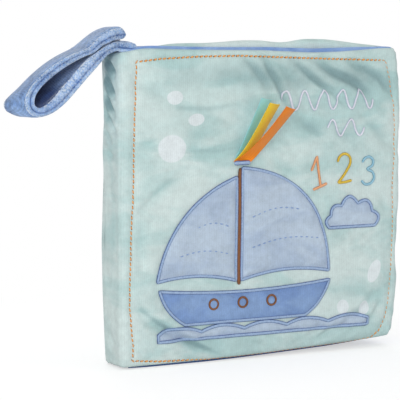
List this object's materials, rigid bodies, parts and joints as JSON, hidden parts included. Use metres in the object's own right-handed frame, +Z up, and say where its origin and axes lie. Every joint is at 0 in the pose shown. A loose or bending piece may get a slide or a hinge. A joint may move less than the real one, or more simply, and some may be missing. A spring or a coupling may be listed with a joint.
{
  "type": "crinkle cloth book",
  "caption": "Square padded cloth book for a baby, with turning leaves, an applique cover, ribbons and a fold-over hanging strap.",
  "frame": {"origin": "middle of the spine's foot, on the surface that the book stands on", "axes": "+X from the spine to the fore edge, +Z up the spine, and the front cover faces -Y"},
  "size_m": [0.2746, 0.0669, 0.2177],
  "materials": {
    "mint_plush": "short brushed plush, pale mint",
    "blue_plush": "short brushed plush, mid blue",
    "pale_blue_plush": "short brushed plush, pale blue",
    "wadding": "white polyester wadding",
    "crinkle_film": "thin crackling film",
    "orange_thread": "thick orange-brown embroidery thread",
    "brown_thread": "brown satin-stitch thread",
    "white_thread": "white satin-stitch thread",
    "peach_thread": "peach satin-stitch thread",
    "gold_thread": "gold satin-stitch thread",
    "sky_thread": "light blue satin-stitch thread",
    "teal_ribbon": "teal ribbed ribbon",
    "yellow_ribbon": "yellow ribbed ribbon",
    "orange_ribbon": "orange ribbed ribbon",
    "hook_tape": "hook-and-loop tape, pale grey"
  },
  "bodies": {
    "spine": {"spine_plush": "mint_plush", "spine_wadding": "wadding", "spine_lining": "blue_plush"},
    "front_cover": {"front_cover_plush": "mint_plush", "front_cover_lining": "blue_plush", "front_cover_crinkle_film": "crinkle_film", "front_cover_wadding": "wadding", "front_cover_binding": "mint_plush", "border_stitch": "orange_thread", "main_sail": "pale_blue_plush", "jib_sail": "pale_blue_plush", "hull": "blue_plush", "sea": "pale_blue_plush", "cloud": "pale_blue_plush", "mast": "brown_thread", "numeral_1": "peach_thread", "numeral_2": "gold_thread", "numeral_3": "sky_thread", "ripple_upper": "white_thread", "ripple_lower": "white_thread"},
    "page_1": {"page_1_front_plush": "mint_plush", "page_1_back_plush": "blue_plush", "page_1_crinkle_film": "crinkle_film", "page_1_wadding": "wadding", "page_1_binding": "mint_plush"},
    "page_2": {"page_2_front_plush": "blue_plush", "page_2_back_plush": "mint_plush", "page_2_crinkle_film": "crinkle_film", "page_2_wadding": "wadding", "page_2_binding": "mint_plush"},
    "back_cover": {"back_cover_lining": "blue_plush", "back_cover_plush": "mint_plush", "back_cover_crinkle_film": "crinkle_film", "back_cover_wadding": "wadding", "back_cover_binding": "mint_plush"},
    "strap": {"strap_outer_plush": "blue_plush", "strap_inner_plush": "blue_plush", "strap_loop_patch": "hook_tape"},
    "strap_flap": {"strap_flap_outer_plush": "blue_plush", "strap_flap_inner_plush": "blue_plush", "strap_flap_hook_patch": "hook_tape"},
    "ribbons": {"ribbon_teal": "teal_ribbon", "ribbon_yellow": "yellow_ribbon", "ribbon_orange": "orange_ribbon"}
  },
  "joints": [
    {"name": "front_cover_turn", "type": "hinge", "parent": "spine", "child": "front_cover", "pos_m": [0, -0.01275, 0], "axis": [0, 0, -1], "range_deg": [0, 135]},
    {"name": "page_1_turn", "type": "hinge", "parent": "spine", "child": "page_1", "pos_m": [0.0048, -0.00425, 0], "axis": [0, 0, -1], "range_deg": [0, 74.25]},
    {"name": "page_2_turn", "type": "hinge", "parent": "spine", "child": "page_2", "pos_m": [0.0048, 0.00425, 0], "axis": [0, 0, -1], "range_deg": [0, 37.8]},
    {"name": "back_cover_turn", "type": "hinge", "parent": "spine", "child": "back_cover", "pos_m": [0, 0.01275, 0], "axis": [0, 0, 1], "range_deg": [0, 135]},
    {"name": "strap_swing", "type": "hinge", "parent": "spine", "child": "strap", "pos_m": [0.005, 0, 0.2078], "axis": [0, 1, 0], "range_deg": [0, 85]},
    {"name": "strap_open", "type": "hinge", "parent": "strap", "child": "strap_flap", "pos_m": [-0.0718, 0, 0.17099], "axis": [0, -1, 0], "range_deg": [0, 150]},
    {"name": "ribbons_flap", "type": "hinge", "parent": "front_cover", "child": "ribbons", "pos_m": [0.0815, -0.01766, 0.128], "axis": [1, 0, 0], "range_deg": [-5, 28], "stiffness_Nm_per_rad": 0.001}
  ],
  "couplings": [
    {"joint": "page_1_turn", "follows": "front_cover_turn", "ratio": 0.55},
    {"joint": "page_2_turn", "follows": "front_cover_turn", "ratio": 0.28}
  ]
}
